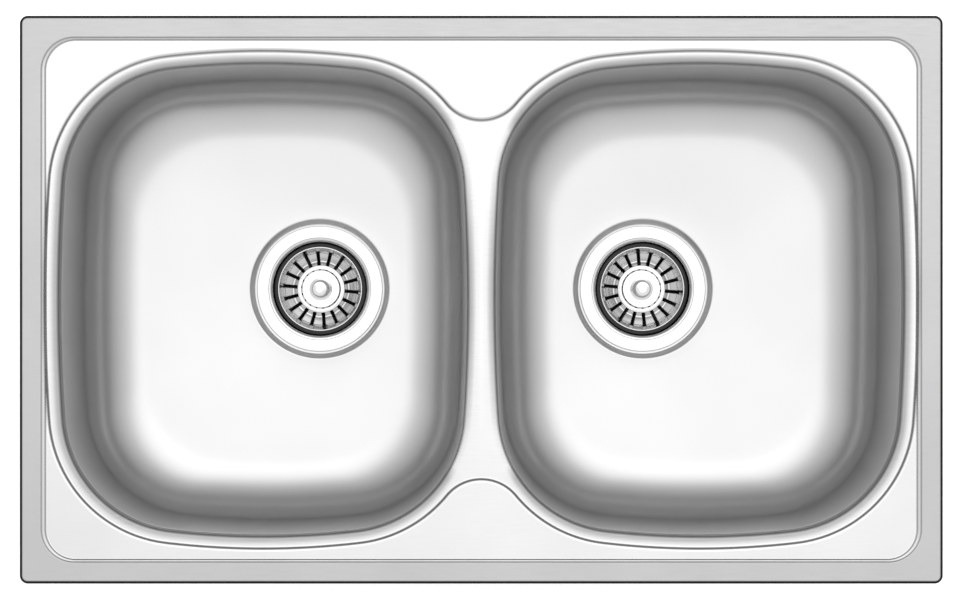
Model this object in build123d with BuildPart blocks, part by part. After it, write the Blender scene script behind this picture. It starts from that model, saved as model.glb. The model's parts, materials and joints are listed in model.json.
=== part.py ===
from build123d import *
import math
import os

# Double bowl inset kitchen sink in pressed stainless steel, with two basket strainer wastes
# and six clamps that hold it down in a worktop.
# Millimetres. X runs along the sink, Y to its back edge, Z up. The origin is the centre of the
# worktop cut-out, on the worktop's top face, which the rim seal rests on.

os.makedirs("parts", exist_ok=True)

# ---------------------------------------------------------------- driving dimensions

# pressed deck
deck_length = 780.0
deck_width = 480.0
deck_corner = 7.0
sheet = 0.8
frame_top = 4.4
panel_top = 2.2
ledge_top = 0.0
frame_band = 19.0
frame_inner_corner = 27.0
rim_bend = 3.0
bend_steps = 2
rim_foot = 0.4
step_slope = 45.0

# bowls
bowl_from_end = 33.0
bowl_from_edge = 40.4
bowl_gap = 24.4
bowl_corner = 102.0
bowl_side_bow = 1500.0
bowl_end_bow = 700.0
corner_follow = 0.5
bowl_depth = 160.0
bowl_draft = 2.5
bowl_edge_bend = 3.6
bowl_floor_bend = 50.0
floor_bend_steps = 4
collar_depth = 6.0

# lowered ledge that runs round both bowls and over the bridge between them
ledge_side = 11.2
ledge_end = 10.0
ledge_corner_growth = 9.0
bridge_dip = 48.0

# sealing strip under the frame
seal_inset = 4.5
seal_width = 5.5

# sound pads under the bowl floors
pad_length = 190.0
pad_width = 76.0
pad_thickness = 3.0
pad_gap = 14.0

# waste seat pressed into each bowl floor
waste_from_bowl_centre = 38.4
waste_back = 10.0
recess_radius = 63.0
recess_slope = 45.0
recess_depth = 4.0
waste_hole_radius = 45.0

# stainless waste cup
cup_sheet = 1.0
flange_radius = 57.0
throat_radius = 42.5
throat_bend = 3.5
throat_depth = 15.8
seat_run = 3.0
cup_lower_radius = 38.8
cup_depth = 37.8
cup_drain_count = 6
cup_drain_inner = 13.5
cup_drain_outer = 31.5
cup_spoke = 4.0

# gaskets above and below the bowl floor
flange_gasket_thickness = 0.8
flange_gasket_radius = 56.0
gasket_hole_radius = 47.0
under_gasket_thickness = 3.0
under_gasket_radius = 57.5

# moulded lower body with its threaded tail
body_flange_radius = 58.0
body_flange_thickness = 4.0
body_bore_radius = 46.0
body_wall = 3.0
body_straight_depth = 35.0
body_funnel_depth = 17.5
tail_thread_radius = 23.9
tail_bore_radius = 20.0
tail_length = 24.0
hub_radius = 8.0
hub_length = 17.0
rib_count = 4
rib_thickness = 2.5
rib_depth = 7.0

# clamping screw of the waste, with the socket that the plug stem drops into
screw_radius = 3.0
screw_reach = 17.5
screw_flange_radius = 9.0
screw_flange_thickness = 1.8
socket_post_radius = 6.5
socket_post_height = 10.7
socket_radius = 4.2
socket_depth = 8.0
drive_slot_width = 1.8
drive_slot_depth = 1.6
insert_radius = 5.5
insert_length = 11.0

# basket plug
basket_sheet = 0.7
basket_drop = 5.8
basket_rim_radius = 38.4
basket_wall_top_radius = 37.2
basket_wall_foot_radius = 33.6
basket_wall_height = 15.0
basket_floor_radius = 25.0
basket_cone_height = 3.5
basket_hub_radius = 21.3
basket_hub_rise = 3.4
slot_count = 18
slot_width = 2.8
slot_inner_radius = 22.4
slot_wall_rise = 3.0
slot_first_angle = 15.0

# rubber seal round the basket
seal_radius = 41.6
seal_under_rim = 1.5
seal_seat_gap = 0.5
seal_chamfer = 1.4

# pull knob
knob_dish_radius = 20.2
knob_dish_edge = 1.0
knob_ring_radius = 17.0
knob_ring_rise = 1.4
knob_flare_radius = 9.0
knob_flare_height = 6.6
knob_neck_radius = 4.6
knob_head_radius = 6.7
knob_head_height = 23.0
knob_head_band = 4.5
knob_head_dome = 1.6

# plug stem
stem_radius = 3.0
stem_thread_length = 8.0
stem_collar_radius = 6.0
stem_collar_thickness = 1.5
nipple_clearance = 0.1
nipple_length = 10.6

# clamps
clamp_from_end = 72.0
claw_from_bowl = 4.6
bracket_length = 34.0
bracket_width = 14.0
bracket_sheet = 1.2
bracket_drop = 8.0
bracket_shelf_length = 18.0
stud_radius = 2.5
stud_length = 56.0
stud_head_size = 8.0
stud_head_height = 2.5
nut_across_flats = 8.0
nut_thickness = 4.0
claw_parked_below = 42.0
claw_sheet = 1.8
claw_width = 12.0
claw_reach = 27.0
claw_tail = 7.0
claw_tip_rise = 5.0
claw_skirt_length = 20.0
claw_skirt_height = 3.0
claw_tooth_count = 3
claw_tooth_depth = 2.4

# clearances
running = 0.06
free = 0.3
touching = 0.05

# ---------------------------------------------------------------- places worked out from them

sheet_under_frame = frame_top - sheet
bowl_length = (deck_length - bowl_gap) / 2 - bowl_from_end
bowl_width = deck_width - 2 * bowl_from_edge
bowl_x = (bowl_length + bowl_gap) / 2
bridge_half_width = bowl_width / 2 - bridge_dip
collar_bottom = ledge_top - collar_depth
bowl_floor = ledge_top - bowl_depth
recess_floor = bowl_floor - recess_depth
waste_x = bowl_x - waste_from_bowl_centre
flange_top = recess_floor + flange_gasket_thickness + cup_sheet
seat_top = flange_top - throat_depth
cup_floor = flange_top - cup_depth
cup_underside = cup_floor - cup_sheet
body_top = recess_floor - sheet - under_gasket_thickness
funnel_top = body_top - body_straight_depth
funnel_bottom = funnel_top - body_funnel_depth
tail_end = funnel_bottom - tail_length
socket_top = cup_floor + socket_post_height
rim_top = flange_top - basket_drop
wall_foot = rim_top - basket_wall_height
basket_floor = wall_foot - basket_cone_height
knob_base = basket_floor + basket_hub_rise
knob_bore_radius = stem_radius + touching
collar_top = knob_base - basket_sheet
collar_foot = collar_top - stem_collar_thickness
nipple_radius = socket_radius - nipple_clearance
step_length = deck_length - 2 * frame_band
step_width = deck_width - 2 * frame_band
clamp_end_x = deck_length / 2 - clamp_from_end
clamp_y = bowl_width / 2 + sheet + claw_from_bowl + claw_width / 2
bracket_top = panel_top - sheet
shelf_under = bracket_top - bracket_drop - bracket_sheet
shelf_top = shelf_under + bracket_sheet
claw_top = shelf_under - claw_parked_below
nut_top = claw_top - claw_sheet - touching


def save(part, name):
    """Labels a finished piece and writes it as the STEP file of its node."""
    part.label = name
    export_step(part, f"parts/{name}.step")


# ---------------------------------------------------------------- outlines

def corner_centre(half_x, half_y, corner, bow_x, bow_y):
    """Centre of the corner arc that runs into the bowed side and the bowed end of a bowl outline."""
    side_x = half_x - bow_x
    end_y = half_y - bow_y
    to_side = bow_x - corner
    to_end = bow_y - corner
    apart = math.hypot(side_x, end_y)
    along = (to_side**2 - to_end**2 + apart**2) / (2 * apart)
    across = math.sqrt(to_side**2 - along**2)
    unit = Vector(-side_x, end_y) / apart
    normal = Vector(unit.Y, -unit.X)
    # two circles about the arc centres cross twice; the corner is the crossing in the first quadrant
    crossings = [Vector(side_x, 0) + unit * along + normal * across * sign for sign in (1, -1)]
    return max(crossings, key=lambda point: min(point.X, point.Y))


def beyond(start, centre, radius):
    """The point on a circle about start, of that radius, on the ray from start through centre."""
    return start + (centre - start).normalized() * radius


def bowl_outline(inset, skin):
    """Face of a bowl outline about the origin: bowed sides and ends joined by tangent corner arcs.

    The outline is drawn in by inset, where its corners tighten less than its sides move, and then
    offset outwards by skin.
    """
    half_x = bowl_length / 2 - inset + skin
    half_y = bowl_width / 2 - inset + skin
    corner = bowl_corner - corner_follow * inset + skin
    bow_x = bowl_side_bow - inset + skin
    bow_y = bowl_end_bow - inset + skin
    centre = corner_centre(half_x, half_y, corner, bow_x, bow_y)
    on_side = beyond(Vector(half_x - bow_x, 0), centre, bow_x)
    on_end = beyond(Vector(0, half_y - bow_y), centre, bow_y)
    middle = centre + ((on_side + on_end) / 2 - centre).normalized() * corner
    with BuildSketch() as face:
        with BuildLine():
            for x in (1, -1):
                ThreePointArc((x * on_side.X, -on_side.Y), (x * half_x, 0), (x * on_side.X, on_side.Y))
                for y in (1, -1):
                    ThreePointArc(*[(x * point.X, y * point.Y) for point in (on_side, middle, on_end)])
            for y in (1, -1):
                ThreePointArc((-on_end.X, y * on_end.Y), (0, y * half_y), (on_end.X, y * on_end.Y))
        make_face()
    return face.sketch


def surround_outline():
    """Face of the lowered ledge: both bowl outlines grown, joined over the bridge by tangent hollow arcs."""
    half_x = bowl_length / 2 + ledge_side
    half_y = bowl_width / 2 + ledge_end
    corner = bowl_corner + ledge_corner_growth
    centre = corner_centre(half_x, half_y, corner, bowl_side_bow, bowl_end_bow)
    inner = Vector(bowl_x - centre.X, centre.Y)
    outer = Vector(bowl_x + centre.X, centre.Y)
    # the hollow arc touches the inner corner arc from outside and has its lowest point on the bridge
    rise = bridge_half_width - inner.Y
    hollow = (inner.X**2 + rise**2 - corner**2) / (2 * (corner - rise))
    hollow_centre = Vector(0, bridge_half_width + hollow)
    end_centre = Vector(bowl_x, half_y - bowl_end_bow)
    side_centre = Vector(bowl_x + half_x - bowl_side_bow, 0)
    with BuildSketch() as face:
        with BuildLine():
            dip = TangentArc((0, bridge_half_width), beyond(inner, hollow_centre, corner), tangent=(1, 0))
            turn_in = TangentArc(dip @ 1, beyond(end_centre, inner, bowl_end_bow), tangent=dip % 1)
            end = TangentArc(turn_in @ 1, beyond(end_centre, outer, bowl_end_bow), tangent=turn_in % 1)
            turn_out = TangentArc(end @ 1, beyond(side_centre, outer, bowl_side_bow), tangent=end % 1)
            TangentArc(turn_out @ 1, (bowl_x + half_x, 0), tangent=turn_out % 1)
            mirror(about=Plane.YZ)
            mirror(about=Plane.XZ)
        make_face()
    return face.sketch


# ---------------------------------------------------------------- deck

with BuildPart() as panel_pocket:
    with BuildSketch(Plane.XY.offset(frame_top)):
        RectangleRounded(step_length, step_width, frame_inner_corner)
    extrude(amount=panel_top - frame_top, taper=step_slope)

with BuildPart() as ledge_pocket:
    with BuildSketch(Plane.XY.offset(ledge_top)):
        add(surround_outline())
    extrude(amount=frame_top - ledge_top, taper=-step_slope)
    with BuildSketch(Plane.XY.offset(frame_top)):
        RectangleRounded(step_length, step_width, frame_inner_corner)
    extrude(amount=ledge_top - frame_top, taper=step_slope, mode=Mode.INTERSECT)


def bend_points(radius, drop):
    """Inset and fall of points along a quarter bend, on the surface that lies drop inside the outer one."""
    for step in range(bend_steps + 1):
        angle = math.radians(90 * step / bend_steps)
        yield radius - (radius - drop) * math.sin(angle), radius - (radius - drop) * math.cos(angle)


def rim_form(drop, foot):
    """Plate of the deck's outline with its edge rolled over, down to foot."""
    with BuildPart() as form:
        for inset, fall in bend_points(rim_bend, drop):
            with BuildSketch(Plane.XY.offset(frame_top - fall)):
                RectangleRounded(deck_length - 2 * inset, deck_width - 2 * inset, deck_corner - inset)
        loft(ruled=True)
        with BuildSketch(Plane.XY.offset(foot)):
            RectangleRounded(deck_length - 2 * drop, deck_width - 2 * drop, deck_corner - drop)
        extrude(amount=frame_top - rim_bend - foot)
    return form.part


def bowl_mouth(drop, foot):
    """Cutter for one bowl hole: rounded into the ledge at its top, then straight down the collar to foot."""
    with BuildPart() as mouth:
        for inset, fall in bend_points(bowl_edge_bend, drop):
            with BuildSketch(Plane.XY.offset(ledge_top - fall)):
                add(bowl_outline(drop - inset, drop))
        loft(ruled=True)
        with BuildSketch(Plane.XY.offset(foot)):
            add(bowl_outline(0, drop))
        extrude(amount=ledge_top - bowl_edge_bend - foot)
    return mouth.part


def below_deck(drop, foot):
    """Everything under the deck surface lowered by drop, with its rim and bowl holes moved in by drop."""
    with BuildPart() as form:
        add(rim_form(drop, foot))
        with BuildSketch(Plane.XY.offset(collar_bottom)):
            Rectangle(step_length, step_width)
        extrude(amount=frame_top - rim_bend - collar_bottom)
        with Locations((0, 0, -drop)):
            add(panel_pocket.part, mode=Mode.SUBTRACT)
            add(ledge_pocket.part, mode=Mode.SUBTRACT)
        with Locations((-bowl_x, 0), (bowl_x, 0)):
            add(bowl_mouth(drop, collar_bottom), mode=Mode.SUBTRACT)
    return form.part


with BuildPart() as deck:
    add(below_deck(0, rim_foot))
    add(below_deck(sheet, collar_bottom), mode=Mode.SUBTRACT)
save(deck.part, "deck")

with BuildPart() as rim_seal:
    with BuildSketch():
        Rectangle(deck_length - 2 * seal_inset, deck_width - 2 * seal_inset)
        Rectangle(
            deck_length - 2 * (seal_inset + seal_width),
            deck_width - 2 * (seal_inset + seal_width),
            mode=Mode.SUBTRACT,
        )
    extrude(amount=sheet_under_frame)
save(rim_seal.part, "rim_seal")


# ---------------------------------------------------------------- bowls

def bowl_form(x, skin, hand):
    """Solid that fills a bowl and its waste seat, offset outwards by skin, up to the deck's collar."""
    draft = math.radians(bowl_draft)
    bend_height = bowl_floor + bowl_floor_bend
    wall_height = collar_bottom - bend_height + bowl_floor_bend * math.sin(draft)
    bend_inset = wall_height * math.tan(draft) + bowl_floor_bend * math.cos(draft)
    with BuildPart() as form:
        with BuildSketch(Plane.XY.offset(collar_bottom)):
            with Locations((x, 0)):
                add(bowl_outline(0, skin))
        for step in range(floor_bend_steps + 1):
            angle = draft + (math.pi / 2 - draft) * step / floor_bend_steps
            with BuildSketch(Plane.XY.offset(bend_height - (bowl_floor_bend + skin) * math.sin(angle))):
                with Locations((x, 0)):
                    add(bowl_outline(bend_inset + skin - (bowl_floor_bend + skin) * math.cos(angle), skin))
        loft(ruled=True)
        with BuildSketch(Plane.XY.offset(bowl_floor - skin)):
            with Locations((x - hand * waste_from_bowl_centre, waste_back)):
                Circle(recess_radius)
        extrude(amount=-recess_depth, taper=recess_slope)
    return form.part


def floor_ring(x, outer, inner, bottom, height):
    """Flat ring round a waste axis."""
    with BuildPart() as ring:
        with BuildSketch(Plane.XY.offset(bottom)):
            with Locations((x, waste_back)):
                Circle(outer)
                Circle(inner, mode=Mode.SUBTRACT)
        extrude(amount=height)
    return ring.part


for side, hand in (("left", -1), ("right", 1)):
    with BuildPart() as bowl:
        add(bowl_form(hand * bowl_x, sheet, hand))
        add(bowl_form(hand * bowl_x, 0, hand), mode=Mode.SUBTRACT)
        with BuildSketch(Plane.XY.offset(bowl_floor)):
            with Locations((hand * waste_x, waste_back)):
                Circle(waste_hole_radius)
        extrude(amount=-recess_depth - 2 * sheet, mode=Mode.SUBTRACT)
    save(bowl.part, f"{side}_bowl")

    with BuildPart() as pad:
        with BuildSketch(Plane.XY.offset(bowl_floor - sheet)):
            with Locations((hand * (waste_x + recess_radius + pad_gap + pad_width / 2), 0)):
                Rectangle(pad_width, pad_length)
        extrude(amount=-pad_thickness)
    save(pad.part, f"{side}_sound_pad")


# ---------------------------------------------------------------- wastes

def half_section(x):
    """Plane that a turned piece of a waste is drawn on: local X is the radius and local Y the height."""
    return Plane(origin=(x, waste_back, 0), x_dir=(1, 0, 0), z_dir=(0, -1, 0))


def waste_axis(x):
    """Axis of the waste at x."""
    return Axis((x, waste_back, 0), (0, 0, 1))


def cup_skin(drop):
    """Half section of the cup's surface that lies drop outside its inner one, from flange to screw hole."""
    seat_turn = math.atan2(throat_radius - cup_lower_radius, seat_run)
    seat_fall = drop * math.tan(seat_turn / 2)
    return [
        (flange_radius, flange_top - drop),
        *[(throat_radius + inset, flange_top - fall) for inset, fall in bend_points(throat_bend, drop)],
        (throat_radius + drop, seat_top - seat_fall),
        (cup_lower_radius + drop, seat_top - seat_run - seat_fall),
        (cup_lower_radius + drop, cup_floor - drop),
        (screw_radius + running, cup_floor - drop),
    ]


def waste_cup(x):
    """Stainless cup: flange, rolled throat, conical seat for the plug and a floor open between spokes."""
    with BuildPart() as cup:
        with BuildSketch(half_section(x)):
            Polygon(*cup_skin(0), *reversed(cup_skin(cup_sheet)), align=None)
        revolve(axis=waste_axis(x))
        with BuildSketch(Plane.XY.offset(cup_floor)):
            with Locations((x, waste_back)):
                RegularPolygon(cup_drain_outer, cup_drain_count, major_radius=False)
                RegularPolygon(cup_drain_inner, cup_drain_count, major_radius=False, mode=Mode.SUBTRACT)
                with PolarLocations(cup_drain_outer, cup_drain_count):
                    Rectangle(2 * (cup_drain_outer - cup_drain_inner), cup_spoke, mode=Mode.SUBTRACT)
        extrude(amount=-2 * cup_sheet, mode=Mode.SUBTRACT)
    return cup.part


def body_cavity(x):
    """Water way through the lower body: the bore and funnel round the hub and its ribs, then the tail."""
    with BuildPart() as cavity:
        with BuildSketch(half_section(x)):
            Polygon(
                (0, body_top),
                (body_bore_radius, body_top),
                (body_bore_radius, funnel_top),
                (tail_bore_radius, funnel_bottom),
                (tail_bore_radius, tail_end),
                (0, tail_end),
                align=None,
            )
        revolve(axis=waste_axis(x))
        with BuildSketch(Plane.XY.offset(cup_underside)):
            with Locations((x, waste_back)):
                with PolarLocations(body_bore_radius / 2, rib_count):
                    Rectangle(body_bore_radius + body_wall, rib_thickness)
        extrude(amount=-rib_depth, mode=Mode.SUBTRACT)
        with BuildSketch(Plane.XY.offset(cup_underside)):
            with Locations((x, waste_back)):
                Circle(hub_radius)
        extrude(amount=-hub_length, mode=Mode.SUBTRACT)
    return cavity.part


def waste_body(x):
    """Moulded lower body: clamping flange, straight wall, funnel, threaded tail, and the ribbed hub."""
    with BuildPart() as body:
        with BuildSketch(half_section(x)):
            Polygon(
                (0, body_top),
                (body_flange_radius, body_top),
                (body_flange_radius, body_top - body_flange_thickness),
                (body_bore_radius + body_wall, body_top - body_flange_thickness),
                (body_bore_radius + body_wall, funnel_top),
                (tail_thread_radius, funnel_bottom),
                (tail_thread_radius, tail_end),
                (0, tail_end),
                align=None,
            )
        revolve(axis=waste_axis(x))
        add(body_cavity(x), mode=Mode.SUBTRACT)
        with BuildSketch(Plane.XY.offset(cup_underside)):
            with Locations((x, waste_back)):
                Circle(insert_radius)
        extrude(amount=-insert_length, mode=Mode.SUBTRACT)
        with BuildSketch(Plane.XY.offset(cup_underside)):
            with Locations((x, waste_back)):
                Circle(screw_radius + free)
        extrude(amount=-hub_length, mode=Mode.SUBTRACT)
    return body.part


def waste_screw(x):
    """Screw that draws cup and body together, with a flange under its post and the plug's socket in it."""
    with BuildPart() as screw:
        with BuildSketch(half_section(x)):
            Polygon(
                (0, cup_floor - screw_reach),
                (screw_radius, cup_floor - screw_reach),
                (screw_radius, cup_floor),
                (screw_flange_radius, cup_floor),
                (screw_flange_radius, cup_floor + screw_flange_thickness),
                (socket_post_radius, cup_floor + screw_flange_thickness),
                (socket_post_radius, socket_top),
                (socket_radius, socket_top),
                (socket_radius, socket_top - socket_depth),
                (0, socket_top - socket_depth),
                align=None,
            )
        revolve(axis=waste_axis(x))
        with BuildSketch(Plane.XY.offset(socket_top)):
            with Locations((x, waste_back)):
                Rectangle(2 * screw_flange_radius, drive_slot_width)
        extrude(amount=-drive_slot_depth, mode=Mode.SUBTRACT)
    return screw.part


def basket(x):
    """Strainer basket: flat rim, steep wall, coned band and raised hub, with slots from hub to wall."""
    with BuildPart() as strainer:
        with BuildSketch(half_section(x)):
            with BuildLine():
                Polyline(
                    (basket_rim_radius, rim_top),
                    (basket_wall_top_radius, rim_top),
                    (basket_wall_foot_radius, wall_foot),
                    (basket_floor_radius, basket_floor),
                    (basket_hub_radius, knob_base),
                    (stem_radius + touching, knob_base),
                )
                offset(amount=basket_sheet, side=Side.LEFT, kind=Kind.INTERSECTION)
            make_face()
        revolve(axis=waste_axis(x))
        slot_length = basket_rim_radius - slot_inner_radius
        with BuildSketch(Plane.XY.offset(wall_foot + slot_wall_rise)):
            with Locations((x, waste_back)):
                with PolarLocations(
                    slot_inner_radius + slot_length / 2, slot_count, start_angle=slot_first_angle
                ):
                    Rectangle(slot_length, slot_width)
        extrude(amount=-(slot_wall_rise + basket_cone_height + 2 * basket_sheet), mode=Mode.SUBTRACT)
    return strainer.part


def basket_seal(x):
    """Rubber sleeve round the basket's wall, chamfered along its foot to lie on the cup's conical seat."""
    wall_slope = (basket_wall_top_radius - basket_wall_foot_radius) / basket_wall_height
    seat_slope = seat_run / (throat_radius - cup_lower_radius)
    top = rim_top - seal_under_rim
    chamfer_top = seat_top - (throat_radius - seal_radius) * seat_slope + seal_seat_gap
    foot = chamfer_top - seal_chamfer * seat_slope
    skin = basket_sheet + touching

    def on_wall(height):
        """Radius of the basket's outside at a height, with the skin clearance."""
        return basket_wall_foot_radius + skin + (height - wall_foot) * wall_slope

    with BuildPart() as sleeve:
        with BuildSketch(half_section(x)):
            Polygon(
                (on_wall(top), top),
                (seal_radius, top),
                (seal_radius, chamfer_top),
                (seal_radius - seal_chamfer, foot),
                (on_wall(foot), foot),
                align=None,
            )
        revolve(axis=waste_axis(x))
    return sleeve.part


def knob(x):
    """Pull knob: dish with a raised ring, flared neck and a domed head, tapped for the stem."""
    dish_top = knob_base + knob_dish_edge
    ring_top = dish_top + knob_ring_rise
    flare_top = knob_base + knob_flare_height
    head_top = knob_base + knob_head_height
    bore_top = knob_base + stem_thread_length + free
    with BuildPart() as pull:
        with BuildSketch(half_section(x)):
            Polygon(
                (knob_bore_radius, knob_base),
                (knob_dish_radius, knob_base),
                (knob_dish_radius, dish_top),
                (knob_ring_radius, ring_top),
                (knob_flare_radius, ring_top),
                (knob_neck_radius, flare_top),
                (knob_neck_radius, head_top - knob_head_band),
                (knob_head_radius, head_top - knob_head_band),
                (knob_head_radius, head_top - knob_head_dome),
                (0, head_top),
                (0, bore_top),
                (knob_bore_radius, bore_top),
                align=None,
            )
        revolve(axis=waste_axis(x))
    return pull.part


def plug_stem(x):
    """Stem: screwed up into the knob, with a collar that holds the basket between them, and the nipple."""
    with BuildPart() as stem:
        with BuildSketch(half_section(x)):
            Polygon(
                (0, knob_base + stem_thread_length),
                (stem_radius, knob_base + stem_thread_length),
                (stem_radius, collar_top),
                (stem_collar_radius, collar_top),
                (stem_collar_radius, collar_foot),
                (nipple_radius, collar_foot),
                (nipple_radius, collar_foot - nipple_length),
                (0, collar_foot - nipple_length),
                align=None,
            )
        revolve(axis=waste_axis(x))
    return stem.part


def flange_gasket(x):
    """Thin seal between the cup's flange and the bowl's waste seat."""
    return floor_ring(x, flange_gasket_radius, gasket_hole_radius, recess_floor, flange_gasket_thickness)


def under_gasket(x):
    """Thick rubber washer between the bowl's underside and the lower body."""
    return floor_ring(x, under_gasket_radius, gasket_hole_radius, body_top, under_gasket_thickness)


def screw_insert(x):
    """Threaded insert moulded into the hub."""
    return floor_ring(x, insert_radius, screw_radius + running, cup_underside - insert_length, insert_length)


def pair(maker):
    """The left and the right copy of a waste piece, as two separate solids."""
    with BuildPart() as both:
        for x in (-waste_x, waste_x):
            add(maker(x))
    return both.part


save(pair(waste_cup), "waste_cups")
save(pair(flange_gasket), "flange_gaskets")
save(pair(under_gasket), "under_gaskets")
save(pair(waste_screw), "waste_screws")
save(pair(screw_insert), "screw_inserts")

for side, x in (("left", -waste_x), ("right", waste_x)):
    save(waste_body(x), f"{side}_waste_body")
    save(basket(x), f"{side}_strainer_basket")
    save(basket_seal(x), f"{side}_basket_seal")
    save(knob(x), f"{side}_pull_knob")
    save(plug_stem(x), f"{side}_plug_stem")


# ---------------------------------------------------------------- clamps

def clamp_bracket():
    """Folded bracket about its stud's axis: two feet under the panel and a lowered shelf for the stud."""
    foot_end = bracket_length / 2
    shelf_end = bracket_shelf_length / 2
    with BuildPart() as bracket:
        with BuildSketch(Plane.XZ):
            with BuildLine():
                Polyline(
                    (-foot_end, bracket_top),
                    (-shelf_end, bracket_top),
                    (-shelf_end, shelf_top),
                    (shelf_end, shelf_top),
                    (shelf_end, bracket_top),
                    (foot_end, bracket_top),
                )
                offset(amount=bracket_sheet, side=Side.RIGHT, kind=Kind.INTERSECTION)
            make_face()
        extrude(amount=bracket_width / 2, both=True)
        with BuildSketch(Plane.XY.offset(shelf_top)):
            Circle(stud_radius + running)
        extrude(amount=-2 * bracket_sheet, mode=Mode.SUBTRACT)
    return bracket.part


def clamp_stud():
    """Threaded stud on the Z axis, hung through the shelf by its square head."""
    with BuildPart() as stud:
        with BuildSketch(Plane.XY.offset(shelf_top)):
            Rectangle(stud_head_size, stud_head_size)
        extrude(amount=stud_head_height)
        with BuildSketch(Plane.XY.offset(shelf_top)):
            Circle(stud_radius)
        extrude(amount=-stud_length)
    return stud.part


def clamp_nut():
    """Hexagon nut under the claw, which it pushes up the stud."""
    with BuildPart() as nut:
        with BuildSketch(Plane.XY.offset(nut_top)):
            RegularPolygon(nut_across_flats / 2, 6, major_radius=False)
            Circle(stud_radius + running, mode=Mode.SUBTRACT)
        extrude(amount=-nut_thickness)
    return nut.part


def claw():
    """Claw that points along +X: a channel with a square hole for the stud and a toothed tip turned up."""
    tip = claw_reach - claw_sheet
    with BuildPart() as bar:
        with BuildSketch(Plane.XZ):
            with BuildLine():
                Polyline((-claw_tail, claw_top), (tip, claw_top), (tip, claw_top + claw_tip_rise))
                offset(amount=claw_sheet, side=Side.RIGHT, kind=Kind.INTERSECTION)
            make_face()
        extrude(amount=claw_width / 2, both=True)
        with BuildSketch(Plane.YZ.offset(tip)):
            with Locations((0, claw_top + claw_tip_rise)):
                with GridLocations(claw_width / claw_tooth_count, 0, claw_tooth_count - 1, 1):
                    Rectangle(claw_tooth_depth, claw_tooth_depth, rotation=45)
        extrude(amount=claw_sheet, mode=Mode.SUBTRACT)
        with BuildSketch(Plane.XY.offset(claw_top)):
            with Locations((claw_skirt_length / 2 - claw_tail, 0)):
                with GridLocations(0, claw_width - claw_sheet, 1, 2):
                    Rectangle(claw_skirt_length, claw_sheet)
        extrude(amount=claw_skirt_height)
        with BuildSketch(Plane.XY.offset(claw_top)):
            Rectangle(2 * (stud_radius + free), 2 * (stud_radius + free))
        extrude(amount=-claw_sheet, mode=Mode.SUBTRACT)
    return bar.part


# each clamp stands on its stud's axis, and its claw is parked along the edge towards the sink's middle
clamp_places = [
    (x, y, 180 if x > 0 else 0) for y in (clamp_y, -clamp_y) for x in (-clamp_end_x, 0, clamp_end_x)
]


def six(maker):
    """One copy of a clamp piece at each clamp, as six separate solids."""
    with BuildPart() as group:
        with Locations(*[(x, y, 0) for x, y, _ in clamp_places]):
            add(maker())
    return group.part


save(six(clamp_bracket), "clamp_brackets")
save(six(clamp_stud), "clamp_studs")
for number, (x, y, turn) in enumerate(clamp_places, start=1):
    for maker, name in ((clamp_nut, "clamp_nut"), (claw, "claw")):
        with BuildPart() as piece:
            with Locations(Location((x, y, 0), (0, 0, turn))):
                add(maker())
        save(piece.part, f"{name}_{number}")
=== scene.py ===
import json
import math

import bmesh
import bpy
import numpy as np
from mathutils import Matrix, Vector


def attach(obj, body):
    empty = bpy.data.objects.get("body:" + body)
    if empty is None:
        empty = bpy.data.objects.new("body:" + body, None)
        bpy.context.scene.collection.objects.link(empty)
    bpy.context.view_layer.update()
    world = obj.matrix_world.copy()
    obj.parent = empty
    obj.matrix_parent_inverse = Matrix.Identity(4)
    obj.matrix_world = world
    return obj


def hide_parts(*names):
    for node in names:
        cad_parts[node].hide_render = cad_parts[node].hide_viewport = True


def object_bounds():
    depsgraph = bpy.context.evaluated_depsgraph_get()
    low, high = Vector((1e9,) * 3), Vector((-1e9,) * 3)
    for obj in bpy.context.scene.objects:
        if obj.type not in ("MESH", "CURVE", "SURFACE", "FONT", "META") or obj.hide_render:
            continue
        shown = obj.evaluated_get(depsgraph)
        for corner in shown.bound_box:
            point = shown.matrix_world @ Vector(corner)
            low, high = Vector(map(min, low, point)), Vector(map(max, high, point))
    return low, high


# Double bowl kitchen sink: smooth pressed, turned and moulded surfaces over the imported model.
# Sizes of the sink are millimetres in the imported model's frame, and become metres when a mesh is made.
# The floor's size and the places of the lamp and the camera are metres.

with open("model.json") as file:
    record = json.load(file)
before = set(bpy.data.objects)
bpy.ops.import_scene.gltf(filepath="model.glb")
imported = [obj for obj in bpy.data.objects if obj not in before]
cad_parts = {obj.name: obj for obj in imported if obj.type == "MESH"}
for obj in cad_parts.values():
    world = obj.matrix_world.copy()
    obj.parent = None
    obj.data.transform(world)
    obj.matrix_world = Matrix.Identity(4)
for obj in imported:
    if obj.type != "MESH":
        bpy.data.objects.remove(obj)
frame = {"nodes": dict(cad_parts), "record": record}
cad_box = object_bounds()

# ---------------------------------------------------------------- sizes

DECK = (390.0, 240.0)
DECK_CORNER = 7.0
SHEET = 0.8
FRAME_TOP = 4.4
PANEL_TOP = 2.2
LEDGE_TOP = 0.0
RIM_BEND = 3.0
RIM_FOOT = 0.4
STEP_TOP_INSET = (17.4, 17.8)
STEP_TOP_CORNER = 28.6
STEP_FOOT_INSET = (23.0, 21.4)
STEP_FOOT_CORNER = 24.8

BOWL_X = 184.6
BOWL_HALF = (172.4, 199.6)
BOWL_CORNER = 102.0
BOW_SIDE = 1500.0
BOW_END = 700.0
CORNER_FOLLOW = 0.5
COLLAR_BOTTOM = -6.0
BOWL_FLOOR = -160.0
DRAFT = math.radians(2.5)
LIP_INSET = 2.0 * math.tan(DRAFT)
EDGE_BEND = 3.6
FLOOR_BEND = 50.0
FLOOR_DISH = math.radians(3.0)

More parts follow.
